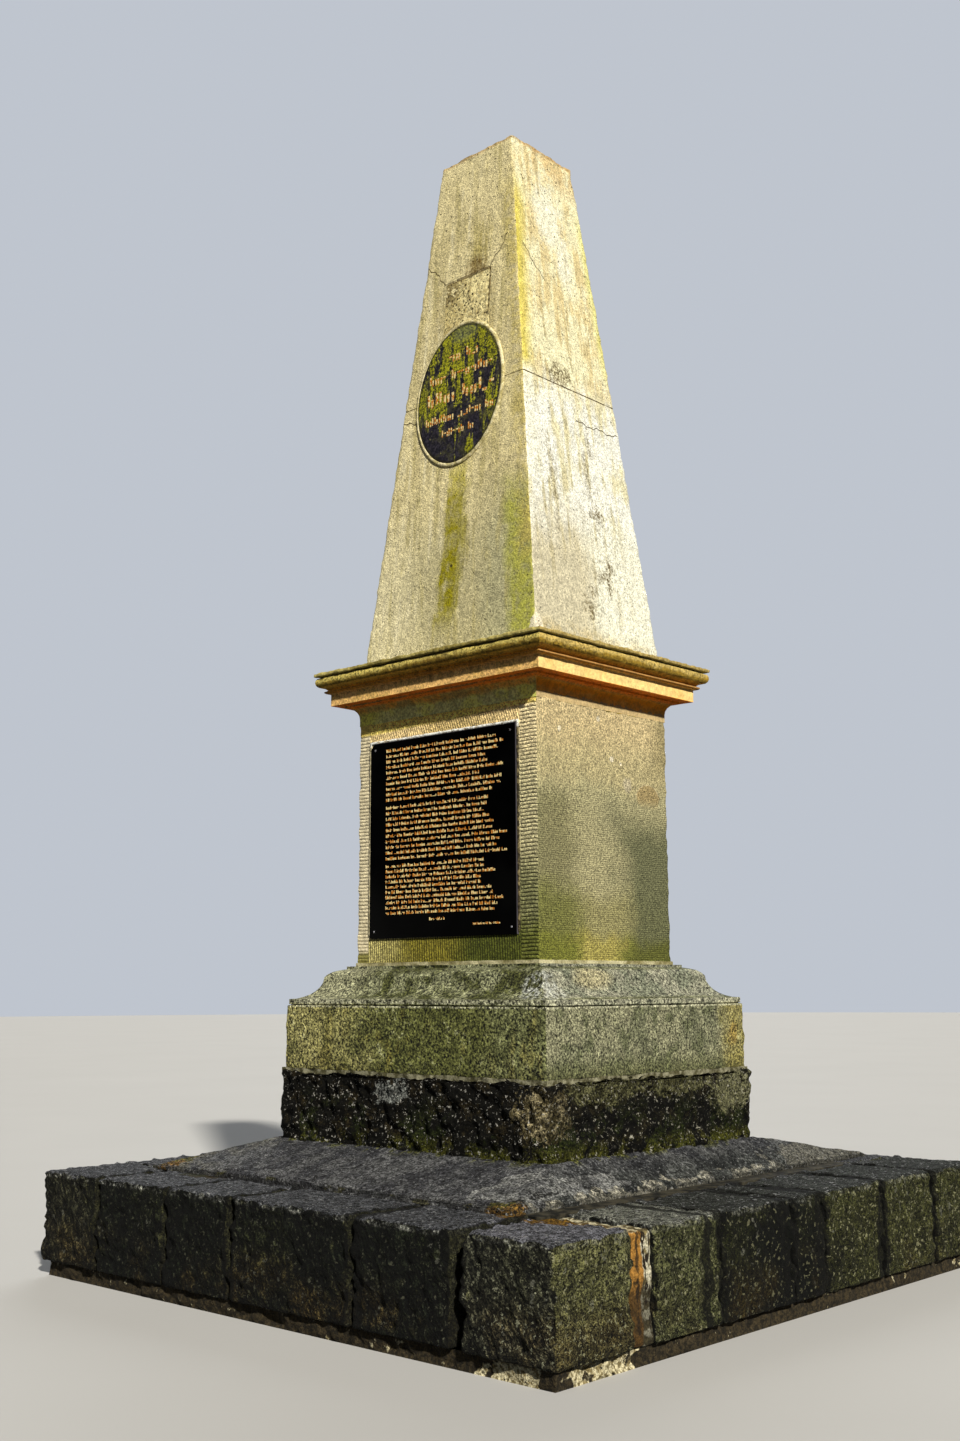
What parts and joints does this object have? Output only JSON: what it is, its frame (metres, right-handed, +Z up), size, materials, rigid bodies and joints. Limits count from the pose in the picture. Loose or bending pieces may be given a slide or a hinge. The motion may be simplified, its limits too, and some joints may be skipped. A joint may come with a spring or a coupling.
{
  "type": "stone obelisk monument",
  "caption": "Weathered stone obelisk with an oval plaque, on a moulded pedestal with a tablet, a rough footing and a mortar apron inside a ring of granite kerb blocks.",
  "frame": {"origin": "centre of the underside of the mortar bed, on the ground", "axes": "+Z up, -Y towards the front with the tablet and the oval plaque, +X to the right of that front"},
  "size_m": [2.838, 2.838, 5.088],
  "materials": {
    "sandstone": "weathered, tooled, stained",
    "granite": "rough hewn",
    "rubble": "very rough, moss stained",
    "apron_mortar": "coarse, weathered",
    "bed_mortar": "coarse, crumbling",
    "pale_mortar": "smooth, chalky",
    "patch_mortar": "pitted",
    "black_stone": "polished"
  },
  "bodies": {
    "root": {"base_moulding": "sandstone", "bedding_mortar": "bed_mortar", "core_fill": "rubble", "cornice_block": "sandstone", "cornice_capping": "sandstone", "die_bed_mortar": "pale_mortar", "die_block": "sandstone", "footing_course": "rubble", "kerb_back_1": "granite", "kerb_back_2": "granite", "kerb_back_3": "granite", "kerb_back_4": "granite", "kerb_corner_back_left": "granite", "kerb_corner_back_right": "granite", "kerb_corner_front_left": "granite", "kerb_corner_front_right": "granite", "kerb_front_1": "granite", "kerb_front_2": "granite", "kerb_front_3": "granite", "kerb_front_4": "granite", "kerb_joint_mortar": "pale_mortar", "kerb_joint_packing": "rubble", "kerb_left_1": "granite", "kerb_left_2": "granite", "kerb_left_3": "granite", "kerb_left_4": "granite", "kerb_left_5": "granite", "kerb_right_1": "granite", "kerb_right_2": "granite", "kerb_right_3": "granite", "kerb_right_4": "granite", "kerb_right_5": "granite", "mortar_apron": "apron_mortar", "oval_plaque": "black_stone", "plaque_bead_mortar": "pale_mortar", "plinth_bed_mortar": "pale_mortar", "plinth_block": "sandstone", "shaft_lower_block": "sandstone", "shaft_patch": "patch_mortar", "shaft_upper_block": "sandstone", "tablet": "black_stone", "tablet_bead_mortar": "pale_mortar"}
  },
  "joints": []
}
